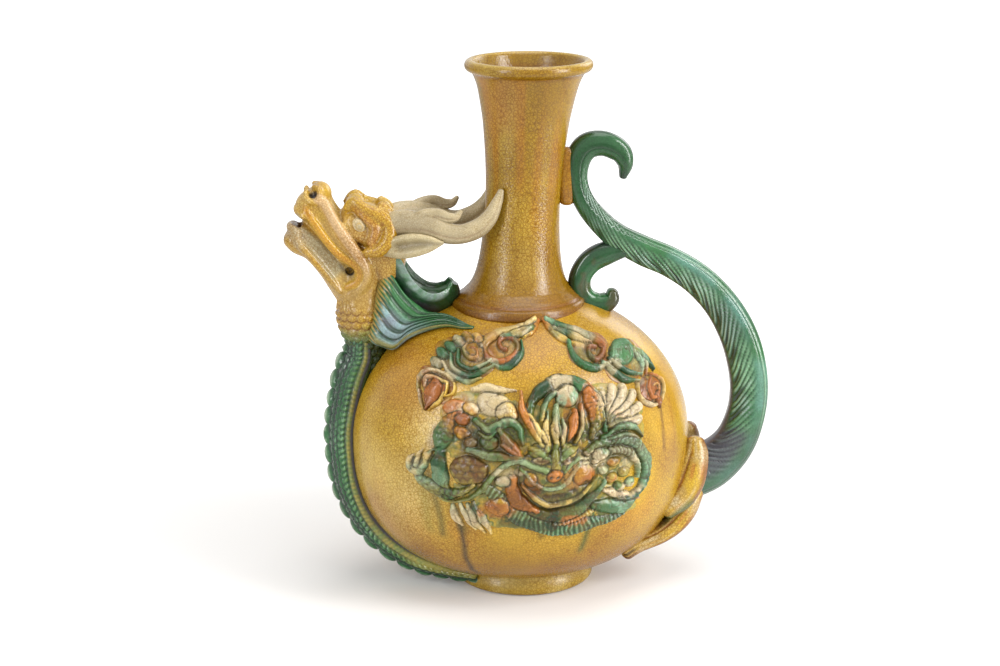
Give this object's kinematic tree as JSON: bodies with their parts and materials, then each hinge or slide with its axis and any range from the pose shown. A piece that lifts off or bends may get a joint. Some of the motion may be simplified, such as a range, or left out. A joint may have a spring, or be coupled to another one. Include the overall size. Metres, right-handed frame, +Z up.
{
  "type": "dragon ewer",
  "caption": "Round-bellied glazed ewer with a trumpet neck, a hollow dragon's head for a spout, its scaly trunk down the side and its feathered tail as the handle.",
  "frame": {"origin": "centre of the whole outline seen from above, on the plane that the foot ring stands on", "axes": "+Z up along the height, -X towards the dragon's muzzle, +X towards the tail handle, -Y towards the front relief"},
  "size_m": [0.2758, 0.1832, 0.3],
  "materials": {
    "amber_glaze": "glossy crackled lead glaze",
    "straw_glaze": "glossy crackled lead glaze",
    "cream_glaze": "glossy crackled lead glaze",
    "green_glaze": "glossy crackled lead glaze",
    "relief_glaze": "glossy crackled lead glaze"
  },
  "bodies": {
    "root": {"body_front": "amber_glaze", "body_back": "amber_glaze", "foot_ring": "amber_glaze", "neck": "amber_glaze", "dragon_neck": "straw_glaze", "dragon_head": "straw_glaze", "dragon_jaw": "straw_glaze", "dragon_trunk": "green_glaze", "nape_mane": "green_glaze", "tail_handle": "green_glaze", "tail_lower_curl": "green_glaze", "neck_bridge": "amber_glaze", "brow_front": "straw_glaze", "eye_front": "cream_glaze", "horn_front": "cream_glaze", "ear_front": "cream_glaze", "lower_mane_front": "green_glaze", "thigh_front": "amber_glaze", "hind_foot_front": "amber_glaze", "medallion_front": "relief_glaze", "cloud_scroll_left_front": "relief_glaze", "cloud_scroll_right_front": "relief_glaze", "brow_back": "straw_glaze", "eye_back": "cream_glaze", "horn_back": "cream_glaze", "ear_back": "cream_glaze", "lower_mane_back": "green_glaze", "thigh_back": "amber_glaze", "hind_foot_back": "amber_glaze", "medallion_back": "relief_glaze", "cloud_scroll_left_back": "relief_glaze", "cloud_scroll_right_back": "relief_glaze"}
  },
  "joints": []
}
